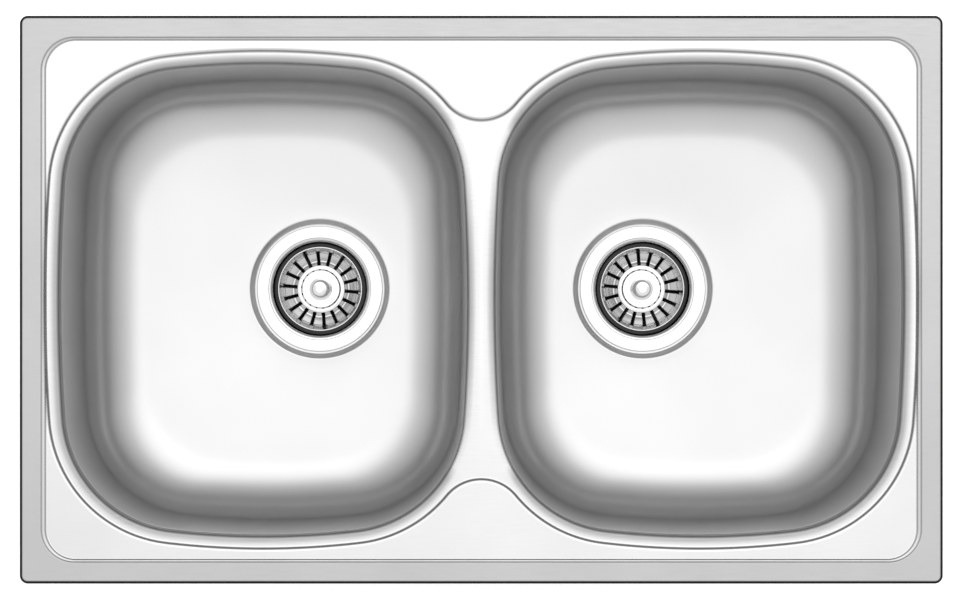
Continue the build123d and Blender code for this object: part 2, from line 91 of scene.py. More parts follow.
LEDGE_GROWTH = (10.0, 9.0)
LEDGE_FALL = math.radians(7.0)
LEDGE_FALL_RUN = 6.0
LEDGE_CORNER = 110.5
BRIDGE_HALF = 150.0
LEDGE_STEP = 4.4

WASTE_X = 146.2
WASTE_Y = 10.0
WASTES = ((-WASTE_X, WASTE_Y), (WASTE_X, WASTE_Y))
RECESS_TOP_R = 63.0
RECESS_R = 58.6
RECESS_FLOOR = -164.0
WASTE_HOLE_R = 45.0
FLANGE_TOP = -162.2

WELD_GAP = 0.002


# ---------------------------------------------------------------- mesh makers

def grid(points, wrap_rows=False, wrap_cols=False):
    """Vertices and quads of a surface sampled on a grid: points is rows by columns by three."""
    rows, cols, _ = points.shape
    index = np.arange(rows * cols).reshape(rows, cols)
    if wrap_rows:
        index = np.vstack([index, index[:1]])
    if wrap_cols:
        index = np.hstack([index, index[:, :1]])
    quads = np.stack([index[:-1, :-1], index[:-1, 1:], index[1:, 1:], index[1:, :-1]], axis=-1)
    return points.reshape(-1, 3), quads.reshape(-1, 4)


def joined(surfaces):
    """Several (vertices, quads) pairs as one pair."""
    start = np.cumsum([0] + [len(vertices) for vertices, _ in surfaces[:-1]])
    return (
        np.vstack([vertices for vertices, _ in surfaces]),
        np.vstack([quads + first for (_, quads), first in zip(surfaces, start)]),
    )


def piece(name, surfaces, material, body, nodes, thickness=0, flip=False, marks=None):
    """Mesh object from surfaces in millimetres, welded and smooth, riding on its body in place of nodes.

    A thickness goes to the inner side of an open sheet, away from the way its faces point. marks gives
    attributes of the material, each with one number a vertex.
    """
    vertices, quads = joined(surfaces)
    if flip:
        quads = quads[:, ::-1]
    mesh = bpy.data.meshes.new(name)
    mesh.from_pydata((vertices * 0.001).tolist(), [], quads.tolist())
    for mark, values in (marks or {}).items():
        mesh.attributes.new(mark, "FLOAT", "POINT").data.foreach_set("value", values)
    work = bmesh.new()
    work.from_mesh(mesh)
    bmesh.ops.remove_doubles(work, verts=work.verts, dist=WELD_GAP * 0.001)
    bmesh.ops.dissolve_degenerate(work, edges=work.edges, dist=1e-7)
    work.to_mesh(mesh)
    work.free()
    mesh.polygons.foreach_set("use_smooth", np.ones(len(mesh.polygons), bool))
    mesh.materials.append(material)
    thing = bpy.data.objects.new(name, mesh)
    bpy.context.scene.collection.objects.link(thing)
    if thickness:
        wall = thing.modifiers.new("wall", "SOLIDIFY")
        wall.thickness = thickness * 0.001
        wall.offset = -1
        wall.use_even_offset = True
        wall.use_quality_normals = True
    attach(thing, body)
    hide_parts(*nodes)
    return thing


def rounded(points, radii, steps=6):
    """Polyline through points with each inner corner replaced by a tangent arc of its radius."""
    points = [np.array(p, float) for p in points]
    out = [points[0]]
    for before, corner, after, radius in zip(points, points[1:], points[2:], radii):
        if radius <= 0:
            out.append(corner)
            continue
        a = (before - corner) / np.linalg.norm(before - corner)
        b = (after - corner) / np.linalg.norm(after - corner)
        half = math.acos(np.clip(a @ b, -1, 1)) / 2
        reach = radius / math.tan(half)
        centre = corner + (a + b) / np.linalg.norm(a + b) * radius / math.sin(half)
        first = corner + a * reach - centre
        last = corner + b * reach - centre
        turn = math.atan2(first[0] * last[1] - first[1] * last[0], first @ last)
        angles = np.linspace(0, turn, steps + 1)
        cos, sin = np.cos(angles), np.sin(angles)
        arc = np.stack([first[0] * cos - first[1] * sin, first[0] * sin + first[1] * cos], axis=1)
        out.extend(centre + arc)
    out.append(points[-1])
    return np.array(out)


def held(profile, hold=0.4):
    """The profile with an extra point near each end of its long straight runs, so flats shade flat."""
    out = [profile[0]]
    for a, b in zip(profile[:-1], profile[1:]):
        length = np.linalg.norm(b - a)
        if length > 4 * hold:
            out.append(a + (b - a) * hold / length)
            out.append(b - (b - a) * hold / length)
        out.append(b)
    return np.array(out)


def turned(profile, centre, count=160, helix=None):
    """Profile of (radius, height) turned round the vertical through centre, as one closed-round grid.

    helix takes (heights, angles) and gives what is added to the radius.
    """
    angle = np.linspace(0, 2 * math.pi, count, endpoint=False)
    radius = np.repeat(profile[:, :1], count, axis=1)
    height = np.repeat(profile[:, 1:], count, axis=1)
    if helix:
        radius = radius + helix(height, angle[None, :])
    return grid(
        np.stack([centre[0] + radius * np.cos(angle), centre[1] + radius * np.sin(angle), height], axis=-1),
        wrap_cols=True,
    )


# ---------------------------------------------------------------- outlines

def ray_to_circle(direction, centre, radius, far=True):
    """Distance along each unit direction from the origin to a circle, to its far or near side."""
    along = direction @ np.array(centre, float)
    root = np.sqrt(np.maximum(along**2 - np.dot(centre, centre) + radius**2, 0))
    return along + root if far else along - root


def corner_of(half_x, half_y, corner, bow_x, bow_y):
    """Centre of the corner arc that is tangent inside the bowed side and the bowed end."""
    side = np.array([half_x - bow_x, 0.0])
    end = np.array([0.0, half_y - bow_y])
    to_side, to_end = bow_x - corner, bow_y - corner
    apart = np.linalg.norm(end - side)
    along = (to_side**2 - to_end**2 + apart**2) / (2 * apart)
    across = math.sqrt(to_side**2 - along**2)
    unit = (end - side) / apart
    normal = np.array([unit[1], -unit[0]])
    return max((side + unit * along + normal * across * sign for sign in (1, -1)), key=min)


def bowl_outline(theta, inset):
    """Points of a bowl outline about its centre, in the directions theta, drawn in by inset.

    Each quadrant is a shallow arc for the side, a corner arc and a shallow arc for the end, all tangent.
    """
    half_x, half_y = BOWL_HALF[0] - inset, BOWL_HALF[1] - inset
    corner = BOWL_CORNER - (CORNER_FOLLOW if inset > 0 else 1) * inset
    bow_x, bow_y = BOW_SIDE - inset, BOW_END - inset
    centre = corner_of(half_x, half_y, corner, bow_x, bow_y)
    side, end = np.array([half_x - bow_x, 0]), np.array([0, half_y - bow_y])
    join_side = side + (centre - side) / np.linalg.norm(centre - side) * bow_x
    join_end = end + (centre - end) / np.linalg.norm(centre - end) * bow_y
    first = np.stack([np.abs(np.cos(theta)), np.abs(np.sin(theta))], axis=-1)
    turn = np.arctan2(first[:, 1], first[:, 0])
    reach = np.where(
        turn < math.atan2(join_side[1], join_side[0]),
        ray_to_circle(first, side, bow_x),
        np.where(
            turn < math.atan2(join_end[1], join_end[0]),
            ray_to_circle(first, centre, corner),
            ray_to_circle(first, end, bow_y),
        ),
    )
    return reach[:, None] * np.stack([np.cos(theta), np.sin(theta)], axis=-1)


def surround(phi, out):
    """Distance from the deck's middle, at angles phi in its first quarter, to the foot of the ledge's
    step moved out by a distance. A hollow arc over the bridge runs into a bowl's corner, end and side arcs.
    """
    half_x, half_y = BOWL_HALF[0] + LEDGE_GROWTH[0], BOWL_HALF[1] + LEDGE_GROWTH[1]
    shift = np.array([BOWL_X, 0])
    centre = corner_of(half_x, half_y, LEDGE_CORNER, BOW_SIDE, BOW_END)
    outer = shift + centre
    inner = shift + centre * (-1, 1)
    side = shift + (half_x - BOW_SIDE, 0)
    end = shift + (0, half_y - BOW_END)
    rise = BRIDGE_HALF - inner[1]
    hollow_radius = (inner[0] ** 2 + rise**2 - LEDGE_CORNER**2) / (2 * (LEDGE_CORNER - rise))
    hollow = np.array([0, BRIDGE_HALF + hollow_radius])
    arcs = [
        (side, BOW_SIDE, 1),
        (outer, LEDGE_CORNER, 1),
        (end, BOW_END, 1),
        (inner, LEDGE_CORNER, 1),
        (hollow, hollow_radius, -1),
    ]
    joints = [
        side + (outer - side) / np.linalg.norm(outer - side) * (BOW_SIDE + out),
        end + (outer - end) / np.linalg.norm(outer - end) * (BOW_END + out),
        end + (inner - end) / np.linalg.norm(inner - end) * (BOW_END + out),
        inner + (hollow - inner) / np.linalg.norm(hollow - inner) * (LEDGE_CORNER + out),
    ]
    which = np.searchsorted([math.atan2(p[1], p[0]) for p in joints], phi)
    direction = np.stack([np.cos(phi), np.sin(phi)], axis=-1)
    return np.choose(which, [
        ray_to_circle(direction, middle, radius + sign * out, far=sign > 0) for middle, radius, sign in arcs
    ])


def box_reach(phi, half, corner):
    """Distance from a rounded rectangle's middle to its outline, at angles phi in its first quarter."""
    direction = np.stack([np.cos(phi), np.sin(phi)], axis=-1)
    core = np.array(half) - corner
    to_side = half[0] / np.maximum(direction[:, 0], 1e-9)
    to_end = half[1] / np.maximum(direction[:, 1], 1e-9)
    at_side = to_side * direction[:, 1] <= core[1]
    at_end = to_end * direction[:, 0] <= core[0]
    return np.where(at_side, to_side, np.where(at_end, to_end, ray_to_circle(direction, core, corner)))


def all_round(quarter):
    """The four quarters of rows of points whose first quarter runs from +X to +Y, closed on itself."""
    flip_x = quarter[:, ::-1] * (-1, 1, 1)
    half = np.concatenate([quarter, flip_x[:, 1:]], axis=1)
    flip_y = half[:, ::-1] * (1, -1, 1)
    return np.concatenate([half, flip_y[:, 1:-1]], axis=1)


# ---------------------------------------------------------------- deck

STEP_EASE = 0.12


def eased(bumps, plain):
    """Rise from 0 to 1 over a run from 0 to 1, as a function, with level ends.

    Its slope is plain over the middle of the run plus a raised cosine for each bump of (middle,
    half width, height), all scaled so that they add up to 1.
    """
    t = np.linspace(0, 1, 401)
    slope = plain * np.clip(np.minimum(t, 1 - t) / STEP_EASE, 0, 1)
    for middle, half_width, height in bumps:
        slope = slope + height * (1 + np.cos(np.clip((t - middle) / half_width, -1, 1) * math.pi)) / 2
    rise = np.concatenate([[0], np.cumsum((slope[1:] + slope[:-1]) / 2)])
    return lambda run: np.interp(run, t, rise / rise[-1])


# the ledge's step is steepest a little below its middle, the frame's step near its foot and near its top
ledge_rise = eased([(0.40, 0.36, 3.2)], 0.5)
frame_rise = eased([(0.22, 0.2, 2.4), (0.80, 0.2, 2.0)], 0.75)

# columns of the deck's first quarter, closer together at its corner and over the bridge
quarter = np.radians(np.unique(np.round(np.concatenate([
    np.linspace(0, 90, 101),
    np.linspace(27, 34.5, 31),
    np.linspace(30.25, 32.75, 26),
    np.linspace(72, 90, 37),
]), 4)))


def ledge_reach(out):
    """Distance to the ledge's step, moved out from its foot."""
    return surround(quarter, out)


def frame_reach(t):
    """Distance to the frame's step, from its foot at 0 to its top at 1."""
    inset = np.array(STEP_FOOT_INSET) * (1 - t) + np.array(STEP_TOP_INSET) * t
    return box_reach(quarter, np.array(DECK) - inset, STEP_FOOT_CORNER * (1 - t) + STEP_TOP_CORNER * t)


def found(radius, reach, marks):
    """For each column, the marks at which the reach equals the radii of that column."""
    table = np.array([reach(mark) for mark in marks])
    return np.stack([np.interp(r, column, marks) for r, column in zip(radius.T, table.T)], axis=1)


def all_round_mark(quarter_mark):
    """The marks of all_round's points, from those of its first quarter."""
    half = np.concatenate([quarter_mark, quarter_mark[:, ::-1][:, 1:]], axis=1)
    return np.concatenate([half, half[:, ::-1][:, 1:-1]], axis=1)


ROW_GAP = 0.05
LEDGE_ROWS = (-0.6, *np.linspace(0, LEDGE_STEP, 11), LEDGE_STEP + 0.3)
FRAME_ROWS = (-0.06, *np.linspace(0, 1, 15), 1.08)
# share of the frame that is rougher satin with a greyer tone; the greyer tone is painted shade
FRAME_SATIN_AND_SHADE = 0.68
# how far out from the deck's edge the painted dark line on the rolled edge starts, and where it is full: a
# painted shade that stands in for the dark reflection in the roll
EDGE_SHADE_LINE = (-2.9, -2.1)

# where the ledge's step and the frame's step overlap, at the ends of the deck, their rises add up
radius = np.sort(np.array(
    [ledge_reach(out) for out in LEDGE_ROWS] + [frame_reach(t) for t in FRAME_ROWS]
), axis=0)
least_gap = ROW_GAP * np.arange(len(radius))[:, None]
radius = np.maximum.accumulate(radius - least_gap) + least_gap
on_ledge = ledge_rise(found(radius, ledge_reach, np.linspace(-1, 9, 41)) / LEDGE_STEP)
on_frame = frame_rise(found(radius, frame_reach, np.linspace(-0.5, 1.5, 41)))
height = LEDGE_TOP + (PANEL_TOP - LEDGE_TOP) * on_ledge + (FRAME_TOP - PANEL_TOP) * on_frame

# the frame's flat, the rolled edge and its foot, as rows of (out from the deck's edge, height)
rim_turn = np.radians(np.linspace(0, 90, 10))
rim_rows = [
    (-RIM_BEND - 0.5, FRAME_TOP),
    *zip(RIM_BEND * (np.sin(rim_turn) - 1), FRAME_TOP - RIM_BEND * (1 - np.cos(rim_turn))),
    (0, RIM_FOOT),
]
rim_reach = [box_reach(quarter, np.array(DECK) + out, DECK_CORNER + out) for out, _ in rim_rows]
radius = np.vstack([radius, rim_reach])
height = np.vstack([height, [np.full(len(quarter), z) for _, z in rim_rows]])
on_frame = np.vstack([on_frame, np.ones((len(rim_rows), len(quarter)))])
# mark of the painted shade: the dark line painted on the deck's rolled edge
on_edge_shade = np.zeros_like(on_frame)
on_edge_shade[-len(rim_rows):] = np.interp([out for out, _ in rim_rows], EDGE_SHADE_LINE, (0, 1))[:, None]

outer_block = all_round(np.stack([radius * np.cos(quarter), radius * np.sin(quarter), height], axis=-1))
ledge_rim = outer_block[0]
frame_satin_and_shade_mark = FRAME_SATIN_AND_SHADE * all_round_mark(on_frame)[::-1]
edge_shade_mark = all_round_mark(on_edge_shade)[::-1]

LEDGE_OUTS = (4.6, 3.8, 2.9, 2.0, 1.0)
# the ledge beside a bowl is satin and painted greyer where it is up to 7 mm wide, and mostly bright from 15
# mm; the rougher finish is satin, the greyer tone is painted shade
SATIN_AND_SHADE_WIDTHS = (7.0, 15.0)
SATIN_AND_SHADE_SHARES = (1.0, 0.2)


def bowl_block(hand):
    """One bowl's part of the deck: the flat ledge from the step's foot or the bridge's middle to the
    bowl's edge, the bend into the bowl and the collar below it. Rows run from the edge of the ledge in."""
    half = ledge_rim[ledge_rim[:, 0] * hand >= -1e-6]
    turn = np.arctan2(half[:, 1], half[:, 0] * hand)
    half = half[np.argsort(turn)]
    bridge_y = np.linspace(half[-1, 1], half[0, 1], 150)[1:-1]
    bridge = np.stack([np.zeros_like(bridge_y), bridge_y, np.full_like(bridge_y, LEDGE_TOP)], axis=-1)
    border = np.concatenate([half, bridge])
    theta = np.arctan2(border[:, 1], border[:, 0] - hand * BOWL_X)

    def inside(inset, height):
        flat = bowl_outline(theta, inset) + (hand * BOWL_X, 0)
        return np.concatenate([flat, np.full((len(flat), 1), height)], axis=1)

    lip = -EDGE_BEND * (1 - math.sin(LEDGE_FALL))
    lip_top = LEDGE_TOP - LEDGE_FALL * LEDGE_FALL_RUN / 2
    block = [border]
    for out in LEDGE_OUTS:
        fallen = LEDGE_FALL * (LEDGE_FALL_RUN - out) ** 2 / (2 * LEDGE_FALL_RUN)
        block.append(inside(lip - out, LEDGE_TOP - fallen))
    for bend in np.linspace(LEDGE_FALL, math.pi / 2, 11):
        drop = EDGE_BEND * (math.cos(LEDGE_FALL) - math.cos(bend))
        block.append(inside(-EDGE_BEND * (1 - math.sin(bend)), lip_top - drop))
    block.append(inside(LIP_INSET, COLLAR_BOTTOM))

    last_out = len(LEDGE_OUTS)
    width = np.linalg.norm(block[0][:, :2] - block[last_out][:, :2], axis=1)
    # painted shade: the greyer satin tone rises from the ledge's outer edge to the bowl's edge and stays over
    # the bend and collar
    near_bowl = np.minimum(np.arange(len(block)) / last_out, 1)[:, None]
    satin = near_bowl * np.interp(width, SATIN_AND_SHADE_WIDTHS, SATIN_AND_SHADE_SHARES)
    points = np.array(block)
    return grid(points[:, ::hand], wrap_cols=True), theta, satin[:, ::hand].ravel()


left_block, left_theta, left_satin_and_shade = bowl_block(-1)
right_block, right_theta, right_satin_and_shade = bowl_block(1)


# ---------------------------------------------------------------- materials

def tree_of(name):
    """New node material, its node tree and its Principled shader."""
    material = bpy.data.materials.new(name)
    material.use_nodes = True
    nodes = material.node_tree.nodes
    return material, material.node_tree, nodes["Principled BSDF"]


def noise(tree, scale, stretch=(1, 1, 1)):
    """Noise over Object coordinates, in cells per metre, drawn out along the small entries of stretch."""
    coords = tree.nodes.new("ShaderNodeTexCoord")
    mapping = tree.nodes.new("ShaderNodeMapping")
    mapping.inputs["Scale"].default_value = stretch
    texture = tree.nodes.new("ShaderNodeTexNoise")
    texture.inputs["Scale"].default_value = scale
    texture.inputs["Detail"].default_value = 2
    tree.links.new(coords.outputs["Object"], mapping.inputs["Vector"])
    tree.links.new(mapping.outputs["Vector"], texture.inputs["Vector"])
    return texture.outputs["Fac"]


def between(tree, factor, low, high):
    """A number that runs from low to high as the noise factor runs over its usual middle range."""
    spread = tree.nodes.new("ShaderNodeMapRange")
    spread.inputs["From Min"].default_value = 0.3
    spread.inputs["From Max"].default_value = 0.7
    spread.inputs["To Min"].default_value = low
    spread.inputs["To Max"].default_value = high
    tree.links.new(factor, spread.inputs["Value"])
    return spread.outputs["Result"]


def tint(tree, factor, dark, light):
    """A colour that runs from dark to light with the noise factor."""
    mix = tree.nodes.new("ShaderNodeMix")
    mix.data_type = "RGBA"
    mix.inputs["A"].default_value = (*dark, 1)
    mix.inputs["B"].default_value = (*light, 1)
    tree.links.new(between(tree, factor, 0, 1), mix.inputs["Factor"])
    return mix.outputs["Result"]


def finish(name, dark, light, rough, metallic=0.0, *, clouds, grain=900, bump=0.0):
    """Finish whose tone and gloss drift in soft clouds, with a fine grain that also stands proud.

    rough is the least and the most roughness, clouds and grain are cells per metre and bump is the
    height of the grain in millimetres.
    """
    material, tree, shader = tree_of(name)
    drift = noise(tree, clouds)
    fine = noise(tree, grain)
    tree.links.new(tint(tree, drift, dark, light), shader.inputs["Base Color"])
    tree.links.new(between(tree, fine, *rough), shader.inputs["Roughness"])
    shader.inputs["Metallic"].default_value = metallic
    if bump:
        relief = tree.nodes.new("ShaderNodeBump")
        relief.inputs["Strength"].default_value = 0.6
        relief.inputs["Distance"].default_value = bump * 0.001
        tree.links.new(fine, relief.inputs["Height"])
        tree.links.new(relief.outputs["Normal"], shader.inputs["Normal"])
    return material


def gray(tone):
    """A neutral of that tone."""
    return (tone, tone, tone)


def mark_of(tree, name):
    """The piece's own attribute of that name."""
    node = tree.nodes.new("ShaderNodeAttribute")
    node.attribute_name = name
    return node.outputs["Fac"]


def blended(tree, factor, a, b, kind="FLOAT"):
    """A number or a colour that passes from a to b with the factor; each is a socket or a value."""
    mix = tree.nodes.new("ShaderNodeMix")
    mix.data_type = kind
    tree.links.new(factor, mix.inputs["Factor"])
    for key, value in (("A", a), ("B", b)):
        if isinstance(value, bpy.types.NodeSocket):
            tree.links.new(value, mix.inputs[key])
        else:
            mix.inputs[key].default_value = value if kind == "FLOAT" else (*value, 1)
    return mix.outputs["Result"]


PRESSED_TONES = (gray(0.585), gray(0.615))
# greyer tone of the satin parts: the finish is rougher there, and the greyer tone is painted shade
SATIN_AND_SHADE_TONES = (gray(0.368), gray(0.392))
# near black painted on the rolled edge: a painted shade for the dark reflection in the roll
PAINTED_EDGE_SHADE_TONE = gray(0.015)
POLISHED_TONES = (gray(0.60), gray(0.63))
# painted shade down in the waste cup below the plug's seat
CUP_SHADE_TONES = (gray(0.05), gray(0.08))


def deck_finish():
    """Pressed deck steel: bright on the panels, more satin (rougher) on the frame and beside the bowls, with
    a greyer tone there that is painted shade, and painted near black on the rolled edge as a painted shade
    for the dark reflection in the roll."""
    material, tree, shader = tree_of("satin deck steel")
    drift = noise(tree, 9)
    grain = noise(tree, 900, (0.05, 1, 1))
    satin, edge = mark_of(tree, "satin"), mark_of(tree, "painted_edge_shade")
    # the satin mark blends in a greyer tone, which is painted shade, and a rougher finish
    colour = blended(tree, satin, tint(tree, drift, *PRESSED_TONES), tint(tree, drift, *SATIN_AND_SHADE_TONES), "RGBA")
    # the rolled edge's colour is painted near black, a painted shade
    tree.links.new(blended(tree, edge, colour, PAINTED_EDGE_SHADE_TONE, "RGBA"), shader.inputs["Base Color"])
    rough = blended(tree, satin, between(tree, grain, 0.20, 0.26), between(tree, grain, 0.38, 0.46))
    tree.links.new(rough, shader.inputs["Roughness"])
    shader.inputs["Metallic"].default_value = 1.0
    relief = tree.nodes.new("ShaderNodeBump")
    relief.inputs["Strength"].default_value = 0.5
    relief.inputs["Distance"].default_value = 0.000001
    tree.links.new(grain, relief.inputs["Height"])
    tree.links.new(relief.outputs["Normal"], shader.inputs["Normal"])
    return material


def cup_finish():
    """Polished cup steel, painted dark and rougher below the plug's seat: the dark tone is painted shade down
    in the cup under the basket.
    """
    material, tree, shader = tree_of("polished cup steel with painted shade")
    drift = noise(tree, 40)
    painted_deep_shade = mark_of(tree, "painted_deep_shade")
    # painted shade: the cup is painted near black below the plug's seat
    cup_shade_tint = tint(tree, drift, *CUP_SHADE_TONES)
    colour = blended(tree, painted_deep_shade, tint(tree, drift, *POLISHED_TONES), cup_shade_tint, "RGBA")
    tree.links.new(colour, shader.inputs["Base Color"])
    tree.links.new(blended(tree, painted_deep_shade, 0.14, 0.5), shader.inputs["Roughness"])
    shader.inputs["Metallic"].default_value = 1.0
    return material


deck_steel = deck_finish()
cup_steel = cup_finish()
bowl_steel = finish("satin bowl steel", *PRESSED_TONES, (0.29, 0.32), 1.0, clouds=9, bump=0.0003)
basket_steel = finish("polished basket steel", *POLISHED_TONES, (0.10, 0.16), 1.0, clouds=60)
knob_chrome = finish("bright chrome", gray(0.74), gray(0.76), (0.05, 0.08), 1.0, clouds=60)
screw_steel = finish("turned steel", gray(0.52), gray(0.56), (0.2, 0.3), 1.0, clouds=120)
plug_rubber = finish(
    "black plug rubber", gray(0.012), gray(0.02), (0.5, 0.65), clouds=90, grain=3000, bump=0.01,
)
gasket_rubber = finish(
    "washer rubber", gray(0.02), gray(0.032), (0.6, 0.75), clouds=90, grain=2500, bump=0.01,
)
seal_foam = finish(
    "cellular seal foam", gray(0.07), gray(0.12), (0.8, 0.95), clouds=500, grain=1500, bump=0.1,
)
pad_rubber = finish("pad bitumen", gray(0.10), gray(0.15), (0.6, 0.8), clouds=60, grain=700, bump=0.08)
body_plastic = finish(
    "black moulded plastic", gray(0.03), gray(0.042), (0.38, 0.46), clouds=40, grain=1200, bump=0.01,
)
insert_brass = finish("insert brass", (0.62, 0.45, 0.18), (0.70, 0.52, 0.23), (0.25, 0.35), 1.0, clouds=150)
clamp_steel = finish(
    "galvanised steel", gray(0.46), gray(0.58), (0.34, 0.46), 1.0, clouds=180, grain=1500, bump=0.004,
)
clamp_zinc = finish(
    "zinc plated steel", (0.50, 0.52, 0.53), (0.60, 0.62, 0.62), (0.22, 0.32), 1.0,
    clouds=150, grain=1500, bump=0.002,
)

# ---------------------------------------------------------------- deck and bowls

piece(
    "pressed_deck",
    [grid(outer_block[::-1], wrap_cols=True), left_block, right_block],
    deck_steel, "sink", ["deck"], thickness=SHEET,
    marks={
        # mark of the satin finish and its painted greyer shade
        "satin": np.concatenate([frame_satin_and_shade_mark.ravel(), left_satin_and_shade, right_satin_and_shade]),
        # mark of the painted shade on the rolled edge
        "painted_edge_shade": np.concatenate([edge_shade_mark.ravel(), np.zeros(len(left_satin_and_shade) + len(right_satin_and_shade))]),
    },
)

wall_height = COLLAR_BOTTOM - (BOWL_FLOOR + FLOOR_BEND) + FLOOR_BEND * math.sin(DRAFT)
bend_inset = wall_height * math.tan(DRAFT) + FLOOR_BEND * math.cos(DRAFT)


DISH_START = RECESS_TOP_R + 4
DISH_EASE = 12.0


def floor_dish(points, centre):
    """Rise of the bowl floor towards its edges: a slope that eases in just outside the waste seat."""
    away = np.maximum(np.linalg.norm(points[..., :2] - centre, axis=-1) - DISH_START, 0)
    return math.tan(FLOOR_DISH) * away**2 / (away + DISH_EASE)


def bowl_surface(hand, theta):
    """Inside of a bowl: rings down the drafted wall and round the floor bend, then rings that pass from
    the floor's outline to the waste seat's circle, its rounded step and its floor."""
    rings = []

    def add_ring(inset, height):
        flat = bowl_outline(theta, inset) + (hand * BOWL_X, 0)
        rings.append(np.concatenate([flat, np.full((len(flat), 1), height)], axis=1))

    bend_top = BOWL_FLOOR + FLOOR_BEND
    tangent_z = bend_top - FLOOR_BEND * math.sin(DRAFT)
    tangent_inset = bend_inset - FLOOR_BEND * math.cos(DRAFT)
    for t in np.linspace(0, 1, 13)[:-1]:
        add_ring(LIP_INSET + (tangent_inset - LIP_INSET) * t, COLLAR_BOTTOM + (tangent_z - COLLAR_BOTTOM) * t)
    for angle in np.linspace(DRAFT, math.pi / 2, 19):
        add_ring(bend_inset - FLOOR_BEND * math.cos(angle), bend_top - FLOOR_BEND * math.sin(angle))
    rim = rings[-1]
    centre = np.array([hand * WASTE_X, WASTE_Y])
    out = rim[:, :2] - centre
    out /= np.linalg.norm(out, axis=1)[:, None]
    seat = rounded(
        [(RECESS_TOP_R + 6, BOWL_FLOOR), (RECESS_TOP_R, BOWL_FLOOR), (RECESS_R, RECESS_FLOOR),
         (WASTE_HOLE_R, RECESS_FLOOR)],
        (2.5, 2.0),
    )

    def circle(radius, height):
        flat = centre + out * radius
        return np.concatenate([flat, np.full((len(flat), 1), height)], axis=1)

    start = circle(*seat[0])
    for t in np.linspace(0, 1, 12)[1:-1]:
        rings.append(rim * (1 - t) + start * t)
    rings += [circle(radius, height) for radius, height in held(seat)]
    points = np.array(rings)
    fade = np.clip((COLLAR_BOTTOM - points[:, :, 2]) / (COLLAR_BOTTOM - BOWL_FLOOR), 0, 1) ** 3
    points[:, :, 2] += fade * floor_dish(points, centre)
    return grid(points[:, ::hand], wrap_cols=True)


for side, hand, theta in (("left", -1, left_theta), ("right", 1, right_theta)):
    piece(
        f"{side}_bowl_skin", [bowl_surface(hand, theta)], bowl_steel, "sink", [f"{side}_bowl"],
        thickness=SHEET,
    )

PAD_X = 261.2
PAD_HALF = (38.0, 95.0)
PAD_CORNER = 4.0
PAD_DEPTH = 3.0
PAD_CLEAR = 0.05
PAD_EDGE = 0.6
PAD_EDGE_MIDDLE = 0.2


def sound_pad(hand):
    """Pad stuck under a bowl: nested rounded rectangles out over its top, round its edge and back in
    over its underside, all raised with the dished floor. A row is (scale, inset, depth)."""
    turn = np.radians(np.unique(np.concatenate([
        np.linspace(0, 64, 17), np.linspace(64, 72, 17), np.linspace(72, 90, 7),
    ])))
    over = [(scale, PAD_EDGE, PAD_CLEAR) for scale in np.linspace(0.01, 1, 14)]
    edge = [
        (1, PAD_EDGE_MIDDLE, PAD_EDGE_MIDDLE),
        (1, 0, PAD_EDGE),
        (1, 0, PAD_DEPTH - PAD_EDGE),
        (1, PAD_EDGE_MIDDLE, PAD_DEPTH - PAD_EDGE_MIDDLE),
    ]
    under = [(scale, PAD_EDGE, PAD_DEPTH) for scale in np.linspace(1, 0.01, 14)]
    rows = []
    for scale, inset, depth in over + edge + under:
        reach = scale * box_reach(turn, (PAD_HALF[0] - inset, PAD_HALF[1] - inset), PAD_CORNER - inset)
        x, y = reach * np.cos(turn), reach * np.sin(turn)
        rows.append(np.stack([x, y, np.full_like(reach, -depth)], axis=-1))
    points = all_round(np.array(rows)) + (hand * PAD_X, 0, BOWL_FLOOR - SHEET)
    points[:, :, 2] += floor_dish(points, np.array([hand * WASTE_X, WASTE_Y]))
    return grid(points, wrap_cols=True)


for side, hand in (("left", -1), ("right", 1)):
    piece(
        f"{side}_pad_sheet", [sound_pad(hand)], pad_rubber, "sink", [f"{side}_sound_pad"],
        flip=True,
    )

# ---------------------------------------------------------------- wastes

CUP_SHEET = 1.0
CUP_FLOOR = -200.0
CUP_THROAT_R = 42.5
CUP_BARREL_R = 38.8
CUP_PROFILE = held(rounded(
    [(57.0, -163.4), (57.0, FLANGE_TOP + 0.1), (46.4, FLANGE_TOP), (46.0, FLANGE_TOP - 0.35),
     (CUP_THROAT_R, FLANGE_TOP - 0.5), (CUP_THROAT_R, -178.0), (CUP_BARREL_R, -181.0),
     (CUP_BARREL_R, CUP_FLOOR), (36.3, CUP_FLOOR)],
    (0.9, 0.3, 0.3, 3.2, 1.5, 1.5, 2.4),
))


# the most of a pitch that half a slot takes
WIDEST_SLOT = 0.42


